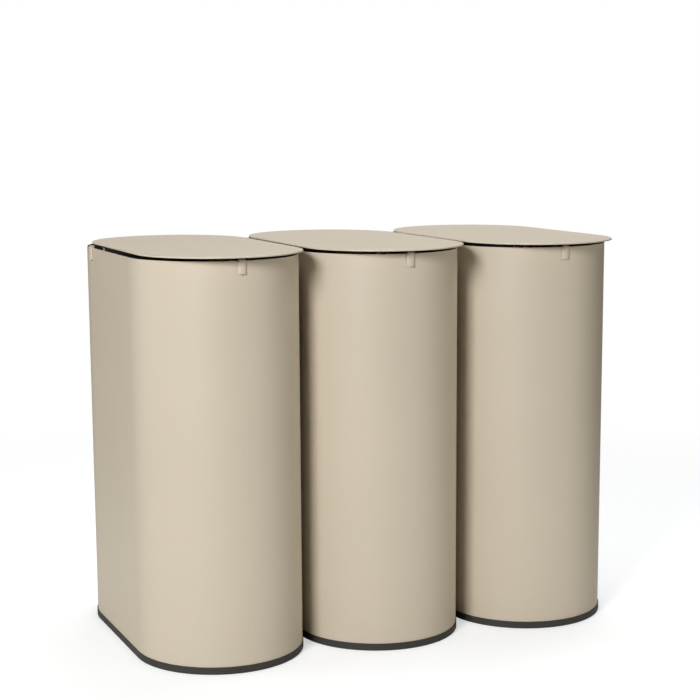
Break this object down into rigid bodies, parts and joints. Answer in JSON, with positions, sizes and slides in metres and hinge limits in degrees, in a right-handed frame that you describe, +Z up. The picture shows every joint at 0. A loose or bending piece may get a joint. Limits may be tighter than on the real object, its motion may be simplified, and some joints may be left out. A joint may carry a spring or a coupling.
{
  "type": "recycling bin station",
  "caption": "Row of tall free-standing sheet-steel bins with stadium plan, flat floating hinged lids and lift-out bag frames.",
  "frame": {"origin": "on the floor, at the centre of the station's footprint", "axes": "+Z up, +X along the row to the right as seen from the front, front of the bins towards -Y"},
  "size_m": [0.6796, 0.4257, 0.5267],
  "materials": {
    "coated_steel": "warm beige powder coat, fine matt grain",
    "base_plastic": "moulded charcoal plastic, fine matt texture",
    "galvanised_steel": "galvanised sheet",
    "plain_steel": "zinc-plated",
    "foot_rubber": "black anti-slip rubber",
    "hinge_plastic": "black acetal",
    "bumper_silicone": "soft dark silicone"
  },
  "bodies": {
    "left_bin": {"left_shell": "coated_steel", "left_base_ring": "base_plastic", "left_base_plate": "galvanised_steel", "left_feet": "foot_rubber", "left_base_screws": "plain_steel"},
    "left_frame": {"left_bag_hoop": "coated_steel", "left_front_hook": "coated_steel", "left_left_hook": "coated_steel", "left_right_hook": "coated_steel", "left_left_bracket": "coated_steel", "left_right_bracket": "coated_steel", "left_hinge_pins": "plain_steel", "left_hinge_spacers": "hinge_plastic", "left_frame_rivets": "plain_steel", "left_lid_bumper": "bumper_silicone"},
    "left_flap": {"left_lid": "coated_steel", "left_left_ear": "coated_steel", "left_right_ear": "coated_steel", "left_ear_bushes": "hinge_plastic"},
    "middle_bin": {"middle_shell": "coated_steel", "middle_base_ring": "base_plastic", "middle_base_plate": "galvanised_steel", "middle_feet": "foot_rubber", "middle_base_screws": "plain_steel"},
    "middle_frame": {"middle_bag_hoop": "coated_steel", "middle_front_hook": "coated_steel", "middle_left_hook": "coated_steel", "middle_right_hook": "coated_steel", "middle_left_bracket": "coated_steel", "middle_right_bracket": "coated_steel", "middle_hinge_pins": "plain_steel", "middle_hinge_spacers": "hinge_plastic", "middle_frame_rivets": "plain_steel", "middle_lid_bumper": "bumper_silicone"},
    "middle_flap": {"middle_lid": "coated_steel", "middle_left_ear": "coated_steel", "middle_right_ear": "coated_steel", "middle_ear_bushes": "hinge_plastic"},
    "right_bin": {"right_shell": "coated_steel", "right_base_ring": "base_plastic", "right_base_plate": "galvanised_steel", "right_feet": "foot_rubber", "right_base_screws": "plain_steel"},
    "right_frame": {"right_bag_hoop": "coated_steel", "right_front_hook": "coated_steel", "right_left_hook": "coated_steel", "right_right_hook": "coated_steel", "right_left_bracket": "coated_steel", "right_right_bracket": "coated_steel", "right_hinge_pins": "plain_steel", "right_hinge_spacers": "hinge_plastic", "right_frame_rivets": "plain_steel", "right_lid_bumper": "bumper_silicone"},
    "right_flap": {"right_lid": "coated_steel", "right_left_ear": "coated_steel", "right_right_ear": "coated_steel", "right_ear_bushes": "hinge_plastic"}
  },
  "joints": [
    {"name": "left_bin_pull_out", "type": "slide", "parent": "middle_bin", "child": "left_bin", "axis": [0, -1, 0], "range_m": [0, 0.45]},
    {"name": "left_frame_lift", "type": "slide", "parent": "left_bin", "child": "left_frame", "axis": [0, 0, 1], "range_m": [0, 0.1]},
    {"name": "left_lid_hinge", "type": "hinge", "parent": "left_frame", "child": "left_flap", "pos_m": [-0.227, 0.09425, 0.506], "axis": [-1, 0, 0], "range_deg": [0, 85]},
    {"name": "middle_frame_lift", "type": "slide", "parent": "middle_bin", "child": "middle_frame", "axis": [0, 0, 1], "range_m": [0, 0.1]},
    {"name": "middle_lid_hinge", "type": "hinge", "parent": "middle_frame", "child": "middle_flap", "pos_m": [0, 0.09425, 0.506], "axis": [-1, 0, 0], "range_deg": [0, 85]},
    {"name": "right_bin_pull_out", "type": "slide", "parent": "middle_bin", "child": "right_bin", "axis": [0, -1, 0], "range_m": [0, 0.45]},
    {"name": "right_frame_lift", "type": "slide", "parent": "right_bin", "child": "right_frame", "axis": [0, 0, 1], "range_m": [0, 0.1]},
    {"name": "right_lid_hinge", "type": "hinge", "parent": "right_frame", "child": "right_flap", "pos_m": [0.227, 0.09425, 0.506], "axis": [-1, 0, 0], "range_deg": [0, 85]}
  ]
}
